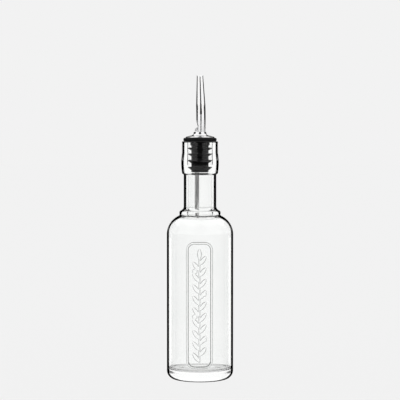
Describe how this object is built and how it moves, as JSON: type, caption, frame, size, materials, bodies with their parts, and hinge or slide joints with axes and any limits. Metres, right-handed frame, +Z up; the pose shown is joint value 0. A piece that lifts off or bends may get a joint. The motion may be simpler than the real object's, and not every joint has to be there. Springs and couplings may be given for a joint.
{
  "type": "glass oil bottle",
  "caption": "Round clear glass oil bottle with an embossed front panel, closed by a finned rubber stopper carrying a bent steel spout and an air tube.",
  "frame": {"origin": "on the surface the bottle stands on, at the centre of its base, on the bottle's axis", "axes": "+Z up along the bottle's axis; -Y out of the embossed front panel; +X to the right seen from the front"},
  "size_m": [0.055, 0.0555, 0.252],
  "materials": {
    "clear_glass": "clear, smooth",
    "black_rubber": "satin",
    "disc_steel": "polished stainless steel",
    "tube_steel": "drawn stainless steel",
    "spout_steel": "polished stainless steel"
  },
  "bodies": {
    "bottle": {"glass_bottle": "clear_glass"},
    "rubber": {"stopper": "black_rubber"},
    "metal_insert": {"cap_disc": "disc_steel", "ferrule": "tube_steel", "spout": "spout_steel", "air_tube": "tube_steel"}
  },
  "joints": [
    {"name": "pourer_lift", "type": "slide", "parent": "bottle", "child": "rubber", "axis": [0, 0, 1], "range_m": [0, 0.085]},
    {"name": "spout_turn", "type": "hinge", "parent": "rubber", "child": "metal_insert", "pos_m": [0, 0, 0.19], "axis": [0, 0, 1], "continuous": true}
  ]
}
